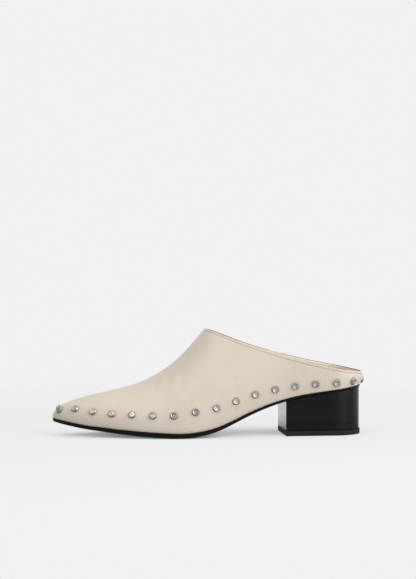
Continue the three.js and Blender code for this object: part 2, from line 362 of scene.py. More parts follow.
# %% Model one stitch and one needle hole, and copy them along both rows
def model_stitch():
    bpy.ops.object.select_all(action="DESELECT")
    bpy.ops.mesh.primitive_uv_sphere_add(
        segments=8, ring_count=5, radius=THREAD_RADIUS, rotation=(0, math.pi / 2, 0)
    )
    stitch = bpy.context.object
    bpy.ops.object.transform_apply(location=True, rotation=True, scale=True)
    clear_selection(stitch)
    for vertex in stitch.data.vertices:
        vertex.select = vertex.co.x > 0
    bpy.context.tool_settings.mesh_select_mode = (True, False, False)
    bpy.ops.object.mode_set(mode="EDIT")
    reach = STITCH_LENGTH - 2 * THREAD_RADIUS
    bpy.ops.transform.translate(value=(reach, 0, 0))
    bpy.ops.mesh.select_all(action="SELECT")
    bpy.ops.transform.translate(value=(-reach / 2, 0, 0))
    bpy.ops.object.mode_set(mode="OBJECT")
    return stitch


def place_copy(model, name, matrix):
    data = model.data.copy()
    data.transform(matrix)
    copied = bpy.data.objects.new(name, data)
    bpy.context.scene.collection.objects.link(copied)
    return copied


def frame_at(place, along, up):
    side = up.cross(along).normalized()
    along = side.cross(up)
    return Matrix.Translation(place) @ Matrix((along, side, up)).transposed().to_4x4()


def join(pieces, name):
    bpy.ops.object.select_all(action="DESELECT")
    for piece in pieces:
        piece.select_set(True)
    bpy.context.view_layer.objects.active = pieces[0]
    bpy.ops.object.join()
    pieces[0].name = name
    pieces[0].data.name = name
    return pieces[0]


def stitch_row(piece, side, model, name, start, sunk):
    path = edge_path(piece, border(piece, side, RAW_EDGE))
    surface = surface_of(piece, side)
    copies = []
    for place, along in spaced(path, STITCH_PITCH, start):
        normal = surface.find_nearest(place - Vector((0, 0, ROW_BELOW_EDGE)))[1]
        down = normal.cross(along).normalized()
        if down.z > 0:
            down = -down
        place, normal = surface.find_nearest(place + down * ROW_BELOW_EDGE)[:2]
        place = place - normal * sunk
        copies.append(place_copy(model, name, frame_at(place, along, normal)))
    print(name, "has", len(copies), "copies")
    return join(copies, name)


def model_needle_hole():
    bpy.ops.object.select_all(action="DESELECT")
    bpy.ops.mesh.primitive_uv_sphere_add(segments=8, ring_count=5, radius=HOLE_RADIUS)
    hole = bpy.context.object
    bpy.ops.object.mode_set(mode="EDIT")
    bpy.ops.mesh.select_all(action="SELECT")
    bpy.ops.transform.resize(value=HOLE_SHAPE)
    bpy.ops.object.mode_set(mode="OBJECT")
    return hole


MIDDLE_OF_STITCH, BETWEEN_STITCHES = 0.5, 0.0

stitch = model_stitch()
needle_hole = model_needle_hole()
rows = {}
for kind, model, start, sunk in (
    ("stitches", stitch, MIDDLE_OF_STITCH, STITCH_SUNK),
    ("needle_holes", needle_hole, BETWEEN_STITCHES, HOLE_SUNK),
):
    for where, side in (("outer", OUTSIDE), ("inner", LINING)):
        name = where + "_" + kind
        rows[name] = stitch_row(upper, side, model, name, start, sunk)
    bpy.data.objects.remove(model)
for row in rows.values():
    select_only(row)
    bpy.ops.object.shade_smooth()

# %% [markdown]
# Calf leather folds a little where the foot bends. On this shoe the folds are faint: short soft
# troughs over the ball, each with a low ridge on either side, and two more behind the throat.
# Each is placed by its distance from the toe and its angle round the shoe from straight
# up, minus on the lateral side. The points of the outer skin move along their own normals, so
# the folds are real shape. Each fades out at its two ends.

# %% Soft creases in the upper
TOE_TIP = -136.8345
SECTION_MIDDLE = 20.0
RIDGE_SHARE = 0.3
END_FADE = 0.8
RAY_START = 0.2
# Each crease is its depth, its half width, and its places as (from the toe, angle).
CREASES = (
    (0.20, 3.0, ((84, -52), (88, -36), (90, -16))),
    (0.26, 3.2, ((95, -58), (99, -38), (101, -12))),
    (0.18, 2.8, ((108, -56), (110, -40), (111, -24))),
    (0.20, 3.0, ((82, 50), (86, 34), (90, 14))),
    (0.26, 3.2, ((91, 58), (96, 38), (100, 16))),
    (0.18, 2.8, ((104, 56), (107, 40), (110, 22))),
    (0.14, 3.0, ((150, -56), (156, -44), (165, -36))),
    (0.14, 3.0, ((150, 56), (156, 44), (165, 36))),
)


def on_skin(skin, from_toe, angle):
    turn = math.radians(angle)
    outwards = Vector((0, math.sin(turn), math.cos(turn)))
    middle = Vector((from_toe + TOE_TIP, 0, SECTION_MIDDLE)) * MM
    return np.array(skin.ray_cast(middle + outwards * RAY_START, -outwards)[0])


def crease_moves(places, line, depth, half_width):
    legs = list(zip(line, line[1:]))
    total = sum(np.linalg.norm(end - start) for start, end in legs)
    nearest = np.full(len(places), np.inf)
    along = np.zeros(len(places))
    walked = 0.0
    for start, end in legs:
        leg = end - start
        length = np.linalg.norm(leg)
        share = np.clip((places - start) @ leg / length ** 2, 0.0, 1.0)
        gap = np.linalg.norm(places - start - np.outer(share, leg), axis=1)
        closer = gap < nearest
        nearest[closer] = gap[closer]
        along[closer] = (walked + share[closer] * length) / total
        walked += length
    trough = np.exp(-(nearest / half_width) ** 2)
    ridge = np.exp(-((nearest - 2.0 * half_width) / half_width) ** 2)
    return depth * (RIDGE_SHARE * ridge - trough) * np.sin(math.pi * along) ** END_FADE


skin = surface_of(upper, OUTSIDE)
places = np.array([vertex.co for vertex in upper.data.vertices])
normals = np.array([vertex.normal for vertex in upper.data.vertices])
moves = np.zeros(len(places))
for depth, half_width, line in CREASES:
    points = [on_skin(skin, from_toe, angle) for from_toe, angle in line]
    moves += crease_moves(places, points, depth * MM, half_width * MM)
moves[is_lining] = 0.0
upper.data.vertices.foreach_set("co", (places + normals * moves[:, None]).ravel())
upper.data.update()
print("deepest crease, mm:", round(float(-moves.min()) / MM, 2))

# %% [markdown]
# A stud is a turned metal cap: a low wall, a bevelled shoulder, a narrow lip and a shallow dish
# with a dimple in its middle. Insetting the top of a short cylinder again and again, each time
# with its own depth, turns that profile. The cap is modelled once and copied to each stud's
# place, sunk a little so that it sits in the leather.

# %% Model one stud
STUD_RADIUS = 3.1 * MM
STUD_WALL = 0.75 * MM
STUD_SUNK = 0.34 * MM
STUD_SIDES = 40
STUD_SMOOTH_ANGLE = math.radians(32)
# Each step is how far the next ring stands in from the last, and how far it rises, in mm.
STUD_PROFILE = (
    (0.12, 0.10),
    (0.44, 0.92),
    (0.12, 0.10),
    (0.12, -0.02),
    (0.16, -0.10),
    (0.35, -0.015),
    (0.70, -0.01),
    (0.35, 0.0),
    (0.16, -0.05),
    (0.18, -0.08),
    (0.18, -0.05),
)


def model_stud():
    bpy.ops.object.select_all(action="DESELECT")
    bpy.ops.mesh.primitive_cylinder_add(
        vertices=STUD_SIDES,
        radius=STUD_RADIUS,
        depth=STUD_WALL,
        location=(0, 0, STUD_WALL / 2),
    )
    stud = bpy.context.object
    bpy.ops.object.transform_apply(location=True, rotation=True, scale=True)
    clear_selection(stud)
    for face in stud.data.polygons:
        face.select = face.normal.z > 0.9
    bpy.context.tool_settings.mesh_select_mode = (False, False, True)
    bpy.ops.object.mode_set(mode="EDIT")
    for thickness, depth in STUD_PROFILE:
        bpy.ops.mesh.inset(thickness=thickness * MM, depth=depth * MM)
    bpy.ops.object.mode_set(mode="OBJECT")
    bpy.ops.object.shade_smooth_by_angle(angle=STUD_SMOOTH_ANGLE)
    return stud


def upright(place, axis):
    return Matrix.Translation(place) @ axis.to_track_quat("Z", "Y").to_matrix().to_4x4()


stud = model_stud()
studs = {}
for node, (place, axis) in STUDS.items():
    studs[node] = place_copy(stud, "cap_" + node, upright(place - axis * STUD_SUNK, axis))
bpy.data.objects.remove(stud)
place, axis = STUDS["stud_back"]
top = max((vertex.co - place).dot(axis) for vertex in studs["stud_back"].data.vertices)
print("studs stand proud of their seats by, mm:", round(top / MM, 2))

# %% [markdown]
# The sole, heel, lift and insole are firm, so their solids are already right in shape. Each copy
# gets its edges rounded by a bevel as wide as a finisher's file would leave, and the curved
# outline is smoothed by subdivision.

# %% Outsole, heel, lift and insole
BLOCK_ANGLE = math.radians(35)
SMOOTHING = 2


def sharp_edges(piece, angle):
    walls = sharp_regions(piece, angle)[2]
    return [edge for edge in piece.data.edges if edge.key in walls]


def finish_block(node, name, width):
    piece = copy_solid(node, name)
    bevel_edges(piece, sharp_edges(piece, BLOCK_ANGLE), width, 2)
    apply_modifier(piece, "SUBSURF", levels=SMOOTHING, render_levels=SMOOTHING)
    select_only(piece)
    bpy.ops.object.shade_smooth_by_angle(angle=BLOCK_ANGLE)
    print(name, "faces:", len(piece.data.polygons))
    return piece


outsole = finish_block("outsole", "leather_outsole", 0.3 * MM)
heel = finish_block("heel", "stacked_heel", 0.35 * MM)
lift = finish_block("top_lift", "rubber_lift", 0.4 * MM)
insole = finish_block("insole", "insole_board", 0.7 * MM)

# %% [markdown]
# A thin leather sock covers the board that the foot stands on. It is the top of the board again,
# cut out a little smaller and given a thickness of its own, so its edge casts a fine line.

# %% Leather sock
SOCK_MARGIN = 1.2 * MM
SOCK_THICKNESS = 0.5 * MM
SOCK_LIFT = 0.1 * MM
SOCK_BEVEL = 0.12 * MM
FACING_UP = 0.7
LEATHER_ANGLE = math.radians(40)


def keep_faces(piece, wanted):
    clear_selection(piece)
    for face in piece.data.polygons:
        face.select = not wanted(face)
    select_only(piece)
    bpy.context.tool_settings.mesh_select_mode = (False, False, True)
    bpy.ops.object.mode_set(mode="EDIT")
    bpy.ops.mesh.delete(type="FACE")
    bpy.ops.object.mode_set(mode="OBJECT")


sock = copy_solid("insole", "leather_sock")
keep_faces(sock, lambda face: face.normal.z > FACING_UP)
bpy.ops.object.mode_set(mode="EDIT")
bpy.ops.mesh.select_all(action="SELECT")
bpy.ops.mesh.inset(thickness=SOCK_MARGIN, use_boundary=True)
bpy.ops.mesh.select_all(action="INVERT")
bpy.ops.mesh.delete(type="FACE")
bpy.ops.mesh.select_all(action="SELECT")
bpy.ops.transform.translate(value=(0, 0, SOCK_LIFT))
bpy.ops.object.mode_set(mode="OBJECT")
apply_modifier(sock, "SUBSURF", levels=SMOOTHING, render_levels=SMOOTHING)
apply_modifier(sock, "SOLIDIFY", thickness=SOCK_THICKNESS, offset=1)
bevel_edges(sock, sharp_edges(sock, RIM_ANGLE), SOCK_BEVEL, 2)
bpy.ops.object.shade_smooth_by_angle(angle=LEATHER_ANGLE)
print("sock, faces:", len(sock.data.polygons))

# %% [markdown]
# On the medial side a short tab of lining leather is folded over the topline to cover the end of
# the closing seam. It is cut from the upper's own mesh with four flat cuts: one drops the
# lateral half, two set its length, and one runs below the topline. That leaves a saddle that
# already fits, and a solidify modifier gives it its thickness.

# %% Tab over the medial topline
TAB_FRONT = (191.7 + TOE_TIP) * MM
TAB_BACK = (203.0 + TOE_TIP) * MM
TAB_OUTSIDE = 0.9 * MM
TAB_INSIDE = 9.0 * MM
TAB_THICKNESS = 0.3 * MM
TAB_BEVEL = 0.1 * MM
LATERAL_CUT = (0, 5 * MM, 0)


def cut_away(piece, point, normal):
    select_only(piece)
    bpy.ops.object.mode_set(mode="EDIT")
    bpy.ops.mesh.select_all(action="SELECT")
    bpy.ops.mesh.bisect(plane_co=point, plane_no=normal, clear_outer=True)
    bpy.ops.object.mode_set(mode="OBJECT")


def rim_at(piece, first, second, x):
    points = points_along(piece, border(piece, first, second), EDGE_STEP)
    return min((p for p in points if p.y > 0), key=lambda point: abs(point.x - x))


tab = bpy.data.objects.new("seam_tab", upper.data.copy())
bpy.context.scene.collection.objects.link(tab)
middle_x = (TAB_FRONT + TAB_BACK) / 2
outer_rim = rim_at(upper, OUTSIDE, RAW_EDGE, middle_x)
inner_rim = rim_at(upper, LINING, RAW_EDGE, middle_x)
front_of_rim = rim_at(upper, OUTSIDE, RAW_EDGE, TAB_FRONT)
back_of_rim = rim_at(upper, OUTSIDE, RAW_EDGE, TAB_BACK)
low_outside = outer_rim - Vector((0, 0, TAB_OUTSIDE))
low_inside = inner_rim - Vector((0, 0, TAB_INSIDE))
under = (back_of_rim - front_of_rim).cross(low_inside - low_outside).normalized()
if under.z > 0:
    under = -under
cut_away(tab, LATERAL_CUT, (0, -1, 0))
cut_away(tab, (TAB_FRONT, 0, 0), (-1, 0, 0))
cut_away(tab, (TAB_BACK, 0, 0), (1, 0, 0))
cut_away(tab, low_outside, under)
apply_modifier(tab, "SOLIDIFY", thickness=TAB_THICKNESS, offset=1)
bevel_edges(tab, sharp_edges(tab, RIM_ANGLE), TAB_BEVEL, 1)
bpy.ops.object.shade_smooth_by_angle(angle=LEATHER_ANGLE)
print("tab, faces:", len(tab.data.polygons))

# %% [markdown]
# Several finishes share the same effects, so each effect is a node group with named inputs and
# outputs, built once. The groups give only masks, values and heights. The shader itself stays in
# each material, with its own colours and roughness.

# %% Helpers for node groups
def start_group(name, inputs, outputs):
    tree = bpy.data.node_groups.new(name, "ShaderNodeTree")
    for label, kind, value in inputs:
        socket = tree.interface.new_socket(name=label, in_out="INPUT", socket_type=kind)
        if value is not None:
            socket.default_value = value
    for label, kind in outputs:
        tree.interface.new_socket(name=label, in_out="OUTPUT", socket_type=kind)
    source = tree.nodes.new("NodeGroupInput")
    result = tree.nodes.new("NodeGroupOutput")
    return tree, source.outputs, result.inputs


def add_node(tree, kind, **values):
    node = tree.nodes.new(kind)
    for key, value in values.items():
        setattr(node, key, value)
    return node


def feed(tree, socket, value):
    if isinstance(value, bpy.types.NodeSocket):
        tree.links.new(value, socket)
    else:
        socket.default_value = value


def math_node(tree, operation, first, second=0.0):
    node = add_node(tree, "ShaderNodeMath", operation=operation)
    feed(tree, node.inputs[0], first)
    feed(tree, node.inputs[1], second)
    return node.outputs[0]


def noise(tree, vector, size, detail, roughness=0.5):
    node = add_node(tree, "ShaderNodeTexNoise")
    feed(tree, node.inputs["Vector"], vector)
    feed(tree, node.inputs["Scale"], size)
    node.inputs["Detail"].default_value = detail
    node.inputs["Roughness"].default_value = roughness
    return node.outputs["Fac"]


def between(tree, value, low, high, start=0.0, end=1.0, smooth=True):
    node = add_node(tree, "ShaderNodeMapRange")
    node.interpolation_type = "SMOOTHSTEP" if smooth else "LINEAR"
    for name, part in (("Value", value), ("From Min", low), ("From Max", high),
                       ("To Min", start), ("To Max", end)):
        feed(tree, node.inputs[name], part)
    return node.outputs["Result"]


def profile(tree, value, stops):
    """Turns a distance in metres into a height from 0 to 1 along a drawn line of stops in mm."""
    reach = stops[-1][0]
    node = add_node(tree, "ShaderNodeValToRGB")
    node.color_ramp.interpolation = "EASE"
    feed(tree, node.inputs["Fac"], math_node(tree, "DIVIDE", value, reach * MM))
    marks = node.color_ramp.elements
    while len(marks) < len(stops):
        marks.new(0.5)
    # Every place is set before any height, because a mark that moves can change their order.
    for mark, (place, height) in zip(marks, stops):
        mark.position = place / reach
    for mark, (place, height) in zip(marks, stops):
        mark.color = (height, height, height, 1)
    return node.outputs["Color"]


# %% [markdown]
# Calf leather has a fine grain of small rounded cells with creases between them. A cell pattern
# gives the cells, and noise breaks up their rows. The group puts out the height of the grain and
# a mask of its creases, where dirt and shade collect.

# %% Group: leather grain
grain, inputs, outputs = start_group(
    "Leather grain",
    [("Vector", "NodeSocketVector", None), ("Cells per metre", "NodeSocketFloat", 1400.0)],
    [("Height", "NodeSocketFloat"), ("Creases", "NodeSocketFloat")],
)
coarse = math_node(grain, "MULTIPLY", inputs["Cells per metre"], 0.35)
wander = noise(grain, inputs["Vector"], coarse, 2)
shift = add_node(grain, "ShaderNodeVectorMath", operation="SCALE")
feed(grain, shift.inputs[0], (0.0006, 0.0005, 0.0007))
feed(grain, shift.inputs["Scale"], wander)
moved = add_node(grain, "ShaderNodeVectorMath", operation="ADD")
feed(grain, moved.inputs[0], inputs["Vector"])
feed(grain, moved.inputs[1], shift.outputs[0])
cells = add_node(grain, "ShaderNodeTexVoronoi", feature="DISTANCE_TO_EDGE")
feed(grain, cells.inputs["Vector"], moved.outputs[0])
feed(grain, cells.inputs["Scale"], inputs["Cells per metre"])
rounded = between(grain, cells.outputs["Distance"], 0.0, 0.28)
pores = math_node(grain, "MULTIPLY", inputs["Cells per metre"], 2.6)
fine = noise(grain, inputs["Vector"], pores, 2)
height = math_node(grain, "ADD", math_node(grain, "MULTIPLY", rounded, 0.75),
                   math_node(grain, "MULTIPLY", fine, 0.25))
feed(grain, outputs["Height"], height)
feed(grain, outputs["Creases"], math_node(grain, "SUBTRACT", 1.0, rounded))
print("group:", grain.name)

# %% [markdown]
# No hide or stain is one even colour. This group drifts between two colours in soft patches of a
# stated size, with a finer cloud laid over the broad one.

# %% Group: patchy colour
patches, inputs, outputs = start_group(
    "Patchy colour",
    [
        ("Vector", "NodeSocketVector", None),
        ("Patches per metre", "NodeSocketFloat", 40.0),
        ("Light", "NodeSocketColor", (0.8, 0.8, 0.8, 1)),
        ("Deep", "NodeSocketColor", (0.6, 0.6, 0.6, 1)),
    ],
    [("Color", "NodeSocketColor"), ("Mask", "NodeSocketFloat")],
)
broad = noise(patches, inputs["Vector"], inputs["Patches per metre"], 3)
small = math_node(patches, "MULTIPLY", inputs["Patches per metre"], 9.0)
cloud = noise(patches, inputs["Vector"], small, 4)
sum_of = math_node(patches, "ADD", math_node(patches, "MULTIPLY", broad, 0.7),
                   math_node(patches, "MULTIPLY", cloud, 0.3))
mask = between(patches, sum_of, 0.38, 0.62)
blend = add_node(patches, "ShaderNodeMix", data_type="RGBA")
feed(patches, blend.inputs[0], mask)
feed(patches, blend.inputs[6], inputs["Light"])
feed(patches, blend.inputs[7], inputs["Deep"])
feed(patches, outputs["Color"], blend.outputs[2])
feed(patches, outputs["Mask"], mask)
print("group:", patches.name)

# %% [markdown]
# Handling leaves faint scratches on metal, polish and ink. Thin lines come from a noise that is
# stretched along one direction and cut off sharply, so only its crests are left.

# %% Group: fine scratches
scratches, inputs, outputs = start_group(
    "Fine scratches",
    [
        ("Vector", "NodeSocketVector", None),
        ("Lines per metre", "NodeSocketFloat", 900.0),
        ("Cover", "NodeSocketFloat", 0.4),
    ],
    [("Mask", "NodeSocketFloat")],
)
stretched = add_node(scratches, "ShaderNodeMapping")
feed(scratches, stretched.inputs["Vector"], inputs["Vector"])
stretched.inputs["Rotation"].default_value = (0.4, 0.9, 0.6)
stretched.inputs["Scale"].default_value = (0.06, 1.0, 1.0)
lines = noise(scratches, stretched.outputs["Vector"], inputs["Lines per metre"], 2)
where = noise(scratches, inputs["Vector"], 160.0, 2)
crest = between(scratches, lines, 0.62, 0.70)
area = between(scratches, where, math_node(scratches, "SUBTRACT", 1.0, inputs["Cover"]), 1.0)
feed(scratches, outputs["Mask"], math_node(scratches, "MULTIPLY", crest, area))
print("group:", scratches.name)

# %% [markdown]
# A stacked heel is built from leather layers. Filed and polished black, they still show as fine
# level lines. This group counts the layers by height, and puts out the groove between two layers
# and a tone that differs from one layer to the next.

# %% Group: stacked layers
layers, inputs, outputs = start_group(
    "Stacked layers",
    [("Vector", "NodeSocketVector", None), ("Layers per metre", "NodeSocketFloat", 400.0)],
    [("Groove", "NodeSocketFloat"), ("Tone", "NodeSocketFloat")],
)
parts = add_node(layers, "ShaderNodeSeparateXYZ")
feed(layers, parts.inputs[0], inputs["Vector"])
ripple = math_node(layers, "MULTIPLY", noise(layers, inputs["Vector"], 60.0, 1), 0.0004)
level = math_node(layers, "MULTIPLY", math_node(layers, "ADD", parts.outputs["Z"], ripple),
                  inputs["Layers per metre"])
part_of_layer = math_node(layers, "FRACT", level)
to_middle = math_node(layers, "ABSOLUTE", math_node(layers, "SUBTRACT", part_of_layer, 0.5))
feed(layers, outputs["Groove"], between(layers, to_middle, 0.38, 0.5))
tone = add_node(layers, "ShaderNodeTexWhiteNoise", noise_dimensions="1D")
feed(layers, tone.inputs["W"], math_node(layers, "FLOOR", level))
feed(layers, outputs["Tone"], tone.outputs["Value"])
print("group:", layers.name)

# %% [markdown]
# Each finish is one material round one shader. Helpers start it, place a group in it, lay one
# bump over another, darken a colour where a mask says so, and read a distance kept on a mesh.

# %% Helpers for materials
def start_material(name, roughness, **sockets):
    material = bpy.data.materials.new(name)
    material.use_nodes = True
    tree = material.node_tree
    shader = tree.nodes["Principled BSDF"]
    shader.inputs["Roughness"].default_value = roughness
    for key, value in sockets.items():
        shader.inputs[key.replace("_", " ")].default_value = value
    place = tree.nodes.new("ShaderNodeTexCoord").outputs["Object"]
    return material, tree, shader, place


def use_group(tree, group, place, **values):
    node = add_node(tree, "ShaderNodeGroup", node_tree=group)
    feed(tree, node.inputs["Vector"], place)
    for key, value in values.items():
        feed(tree, node.inputs[key.replace("_", " ")], value)
    return node.outputs


def bump(tree, height, distance, under=None):
    node = add_node(tree, "ShaderNodeBump")
    node.inputs["Distance"].default_value = distance
    feed(tree, node.inputs["Height"], height)
    if under is not None:
        feed(tree, node.inputs["Normal"], under)
    return node.outputs["Normal"]


def shade(tree, color, amount, dark):
    """Multiplies a colour towards a darker one where amount is 1."""
    node = add_node(tree, "ShaderNodeMix", data_type="RGBA", blend_type="MULTIPLY")
    feed(tree, node.inputs[0], amount)
    feed(tree, node.inputs[6], color)
    feed(tree, node.inputs[7], dark)
    return node.outputs[2]


def attribute(tree, name):
    return add_node(tree, "ShaderNodeAttribute", attribute_name=name).outputs["Fac"]


# %% [markdown]
# The cream calf leather of the upper is smooth, with a low sheen. Its bump is laid in three
# steps: the roll above the stitches, the dent round each stud, and the grain over both. The
# colour darkens a little in the grain's creases, where dirt and shade collect, and with painted
# shade in a ring round each stud, along the stitch row and along the cut edge.

# %% Material: cream leather
ROLL_HEIGHT = 0.22 * MM
DENT_DEPTH = 0.28 * MM
CALF_GRAIN = 0.022 * MM

cream, tree, shader, place = start_material("cream_leather", 0.42, Specular_IOR_Level=0.42)
grain_out = use_group(tree, grain, place, Cells_per_metre=1700.0)
tint = use_group(tree, patches, place, Patches_per_metre=24.0,
                 Light=(0.690, 0.615, 0.520, 1), Deep=(0.660, 0.582, 0.486, 1))
edge = attribute(tree, "from_edge")
stud_distance = attribute(tree, "from_stud")
roll = profile(tree, edge, [(0, 0.5), (0.4, 0.85), (1.0, 0.95), (1.55, 0.6), (1.9, 0.3),
                            (2.25, 0.6), (3.0, 0.75), (6.0, 0.75)])
dent = profile(tree, stud_distance, [(0, 0.0), (2.9, 0.0), (3.5, 0.5), (4.6, 1.0),
                                     (6.5, 0.9), (9.0, 0.9)])
# Painted shadow: a darker ring round each stud.
shadow = profile(tree, stud_distance, [(0, 1.0), (3.1, 0.9), (3.7, 0.25), (4.6, 0.0),
                                       (9.0, 0.0)])
# Painted shade: darker along the cut edge and in the stitch row.
painted_seam_shade = profile(tree, edge, [(0, 0.6), (0.3, 0.3), (0.7, 0.0), (1.6, 0.05), (1.9, 0.12),
                                 (2.2, 0.05), (2.7, 0.0), (6.0, 0.0)])
color = shade(tree, tint["Color"], math_node(tree, "MULTIPLY", grain_out["Creases"], 0.14),
              (0.78, 0.70, 0.60, 1))
color = shade(tree, color, math_node(tree, "MULTIPLY", shadow, 0.35), (0.55, 0.48, 0.40, 1))
color = shade(tree, color, math_node(tree, "MULTIPLY", painted_seam_shade, 0.5), (0.62, 0.52, 0.42, 1))
feed(tree, shader.inputs["Base Color"], color)
rough = between(tree, tint["Mask"], 0.0, 1.0, 0.38, 0.47)
feed(tree, shader.inputs["Roughness"], rough)
normal = bump(tree, roll, ROLL_HEIGHT)
normal = bump(tree, dent, DENT_DEPTH, normal)
normal = bump(tree, grain_out["Height"], CALF_GRAIN, normal)
feed(tree, shader.inputs["Normal"], normal)
print("material:", cream.name)

# %% [markdown]
# The lining, the tab and the sock are matt, a little pinker, and more open in the grain. The raw
# edge of the upper shows the brown middle of the hide.

# %% Materials: lining, sock, tab and raw edge
LINING_GRAIN = 0.03 * MM
FIBRE_HEIGHT = 0.06 * MM


def lining_leather(name, light, deep, roughness):
    material, tree, shader, place = start_material(name, roughness, Specular_IOR_Level=0.3)
    grain_out = use_group(tree, grain, place, Cells_per_metre=1100.0)
    tint = use_group(tree, patches, place, Patches_per_metre=30.0, Light=light, Deep=deep)
    color = shade(tree, tint["Color"], math_node(tree, "MULTIPLY", grain_out["Creases"], 0.25),
                  (0.75, 0.64, 0.52, 1))
    feed(tree, shader.inputs["Base Color"], color)
    feed(tree, shader.inputs["Roughness"], between(tree, grain_out["Height"], 0.0, 1.0,
                                                   roughness + 0.1, roughness - 0.05))
    feed(tree, shader.inputs["Normal"], bump(tree, grain_out["Height"], LINING_GRAIN))
    return material


lining = lining_leather(
    "lining_leather", (0.810, 0.735, 0.655, 1), (0.775, 0.695, 0.610, 1), 0.62
)
sock_leather = lining_leather(
    "sock_leather", (0.700, 0.590, 0.485, 1), (0.645, 0.535, 0.430, 1), 0.58
)
tab_leather = lining_leather(
    "tab_leather", (0.730, 0.635, 0.530, 1), (0.690, 0.590, 0.485, 1), 0.55
)

raw, tree, shader, place = start_material("raw_leather_edge", 0.75, Specular_IOR_Level=0.25)
tint = use_group(tree, patches, place, Patches_per_metre=300.0,
                 Light=(0.260, 0.165, 0.105, 1), Deep=(0.170, 0.100, 0.062, 1))
feed(tree, shader.inputs["Base Color"], tint["Color"])
fibres = noise(tree, place, 2600.0, 3)
feed(tree, shader.inputs["Normal"], bump(tree, fibres, FIBRE_HEIGHT))
print("materials:", lining.name, sock_leather.name, raw.name)

# %% [markdown]
# Waxed thread is a twist of plies. A wave along the stitch gives the twist, close enough at this
# size to need no more than a bump. The needle holes are painted shade: a dark, rough material
# stands for the shade inside each hole.

# %% Material: thread
TWISTS_PER_METRE = 1100.0
TWIST_HEIGHT = 0.05 * MM
HOLE_ROUGHNESS_HEIGHT = 0.03 * MM

thread, tree, shader, place = start_material("cream_thread", 0.55, Specular_IOR_Level=0.4)
twist = add_node(tree, "ShaderNodeTexWave", wave_type="BANDS", bands_direction="DIAGONAL")
feed(tree, twist.inputs["Vector"], place)
twist.inputs["Scale"].default_value = TWISTS_PER_METRE
tint = use_group(tree, patches, place, Patches_per_metre=500.0,
                 Light=(0.640, 0.560, 0.460, 1), Deep=(0.560, 0.480, 0.385, 1))
# Painted shade: the thread is darker in the furrows of its twist.
twist_shade = math_node(tree, "MULTIPLY", twist.outputs["Fac"], 0.3)
feed(tree, shader.inputs["Base Color"], shade(tree, tint["Color"], twist_shade, (0.7, 0.6, 0.5, 1)))
feed(tree, shader.inputs["Normal"], bump(tree, twist.outputs["Fac"], TWIST_HEIGHT))
print("material:", thread.name)

# %% Material: needle holes
# Painted shade: a dark, rough material stands for the shade inside each needle hole.
hole_shade, tree, shader, place = start_material("needle_hole_shade", 0.8, Specular_IOR_Level=0.2)
tint = use_group(tree, patches, place, Patches_per_metre=700.0,
                 Light=(0.200, 0.145, 0.100, 1), Deep=(0.130, 0.090, 0.060, 1))
feed(tree, shader.inputs["Base Color"], tint["Color"])
torn = noise(tree, place, 3000.0, 2)
feed(tree, shader.inputs["Normal"], bump(tree, torn, HOLE_ROUGHNESS_HEIGHT))
print("material:", hole_shade.name)

# %% [markdown]
# The studs are polished steel. Fine scratches and a slight haze keep them from looking like
# mirrors.

# %% Material: stud steel
STEEL_SCRATCH = 0.01 * MM

steel, tree, shader, place = start_material("stud_steel", 0.22, Metallic=1.0)
tint = use_group(tree, patches, place, Patches_per_metre=420.0,
                 Light=(0.50, 0.49, 0.47, 1), Deep=(0.40, 0.39, 0.37, 1))
marks = use_group(tree, scratches, place, Lines_per_metre=2200.0, Cover=0.7)
feed(tree, shader.inputs["Base Color"], tint["Color"])
feed(tree, shader.inputs["Roughness"], math_node(
    tree, "ADD", between(tree, tint["Mask"], 0.0, 1.0, 0.28, 0.38),
    math_node(tree, "MULTIPLY", marks["Mask"], 0.2)))
feed(tree, shader.inputs["Normal"], bump(tree, marks["Mask"], STEEL_SCRATCH))
print("material:", steel.name)

# %% [markdown]
# Sole edge, heel and lift are all black, and differ in gloss. The sole edge is inked and waxed.
# The heel is polished over its layers, most of all on its flat front, and the rubber lift is
# matt.

# %% Materials: sole, heel and lift
SOLE_GRAIN = 0.02 * MM
LAYER_GROOVE = 0.04 * MM
RUBBER_GRAIN = 0.03 * MM

sole_black, tree, shader, place = start_material("sole_black", 0.38, Specular_IOR_Level=0.17)
grain_out = use_group(tree, grain, place, Cells_per_metre=900.0)
tint = use_group(tree, patches, place, Patches_per_metre=60.0,
                 Light=(0.0075, 0.007, 0.0065, 1), Deep=(0.0045, 0.0042, 0.004, 1))
marks = use_group(tree, scratches, place, Lines_per_metre=900.0, Cover=0.5)
feed(tree, shader.inputs["Base Color"], tint["Color"])
feed(tree, shader.inputs["Roughness"], math_node(
    tree, "ADD", between(tree, tint["Mask"], 0.0, 1.0, 0.36, 0.5),
    math_node(tree, "MULTIPLY", marks["Mask"], 0.25)))
feed(tree, shader.inputs["Normal"], bump(tree, grain_out["Height"], SOLE_GRAIN))


def stacked_leather(name, polish, **sockets):
    material, tree, shader, place = start_material(name, polish, **sockets)
    stack = use_group(tree, layers, place, Layers_per_metre=420.0)
    marks = use_group(tree, scratches, place, Lines_per_metre=700.0, Cover=0.4)
    base = between(tree, stack["Tone"], 0.0, 1.0, 0.0035, 0.0065, smooth=False)
    mixed = add_node(tree, "ShaderNodeCombineColor")
    for channel in range(3):
        feed(tree, mixed.inputs[channel], base)
    feed(tree, shader.inputs["Base Color"],
         shade(tree, mixed.outputs[0], stack["Groove"], (0.4, 0.4, 0.4, 1)))
    feed(tree, shader.inputs["Roughness"], math_node(
        tree, "ADD", between(tree, stack["Tone"], 0.0, 1.0, polish - 0.04, polish + 0.06),
        math_node(tree, "MULTIPLY", marks["Mask"], 0.2)))
    feed(tree, shader.inputs["Normal"],
         bump(tree, math_node(tree, "SUBTRACT", 1.0, stack["Groove"]), LAYER_GROOVE))
    return material


heel_black = stacked_leather("heel_black", 0.33, Specular_IOR_Level=0.17)
breast_black = stacked_leather("heel_breast", 0.12, Specular_IOR_Level=0.5, Coat_Weight=0.6,
                               Coat_Roughness=0.04)

